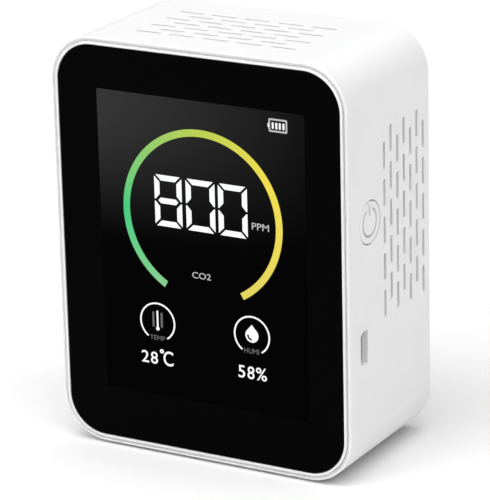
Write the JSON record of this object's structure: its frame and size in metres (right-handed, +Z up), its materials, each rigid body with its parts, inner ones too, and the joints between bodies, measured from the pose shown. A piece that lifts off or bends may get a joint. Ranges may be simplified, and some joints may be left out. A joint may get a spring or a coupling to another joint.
{
  "type": "carbon dioxide monitor",
  "caption": "White desk air-quality monitor with a glossy black display window, vented case, side power button and micro-USB socket.",
  "frame": {"origin": "middle of the case's footprint, on the surface it stands on", "axes": "+X to the right seen from the front, +Y towards the back, +Z up; the window faces -Y"},
  "size_m": [0.07, 0.0384, 0.09],
  "materials": {
    "case_white": "satin moulded ABS",
    "window_black": "polished acrylic",
    "adhesive": "matte",
    "display_glass": "dark glass",
    "display_white": "lit white picture elements",
    "display_grey": "lit grey picture elements",
    "display_gauge": "lit gauge arc, green to yellow",
    "diffuser": "matte",
    "tinned_steel": "tin plated",
    "polyimide": "satin film",
    "nylon_white": "satin",
    "board_green": "solder mask",
    "moulding_black": "matte",
    "moulding_grey": "matte",
    "gold_plate": "gold plated",
    "filter_felt": "matte membrane",
    "ferrite": "matte",
    "aluminium_can": "satin",
    "battery_foil": "satin laminate",
    "foam_black": "matte",
    "wire_red": "satin",
    "wire_black": "satin"
  },
  "bodies": {
    "case": {"rear_housing": "case_white", "front_frame": "case_white", "display_window": "window_black", "window_adhesive": "adhesive", "lcd_cell": "display_glass", "backlight": "diffuser", "display_tray": "tinned_steel", "display_ribbon": "polyimide", "display_connector": "nylon_white", "main_board": "board_green", "board_screw_1": "tinned_steel", "board_screw_2": "tinned_steel", "board_screw_3": "tinned_steel", "board_screw_4": "tinned_steel", "case_screw_1": "tinned_steel", "case_screw_2": "tinned_steel", "case_screw_3": "tinned_steel", "case_screw_4": "tinned_steel", "switch_body": "moulding_black", "switch_cover": "tinned_steel", "usb_shell": "tinned_steel", "usb_tongue": "moulding_grey", "co2_sensor_board": "board_green", "co2_sensor_chamber": "gold_plate", "co2_sensor_filter": "filter_felt", "co2_sensor_header_1": "moulding_black", "co2_sensor_header_2": "moulding_black", "humidity_sensor": "moulding_black", "microcontroller": "moulding_black", "charger_chip": "moulding_black", "power_inductor": "ferrite", "crystal": "tinned_steel", "capacitor_1": "aluminium_can", "capacitor_2": "aluminium_can", "battery": "battery_foil", "battery_pad": "foam_black", "battery_header": "nylon_white", "battery_plug": "nylon_white", "battery_lead_red": "wire_red", "battery_lead_black": "wire_black"},
    "power_button": {"power_button": "case_white"},
    "switch_plunger": {"switch_plunger": "moulding_black"}
  },
  "joints": [
    {"name": "power_button_press", "type": "slide", "parent": "case", "child": "power_button", "axis": [-1, 0, 0], "range_m": [0, 0.0004], "stiffness_N_per_m": 900},
    {"name": "switch_plunger_press", "type": "slide", "parent": "case", "child": "switch_plunger", "axis": [-1, 0, 0], "range_m": [0, 0.0004]}
  ],
  "couplings": [
    {"joint": "switch_plunger_press", "follows": "power_button_press", "ratio": 1}
  ]
}
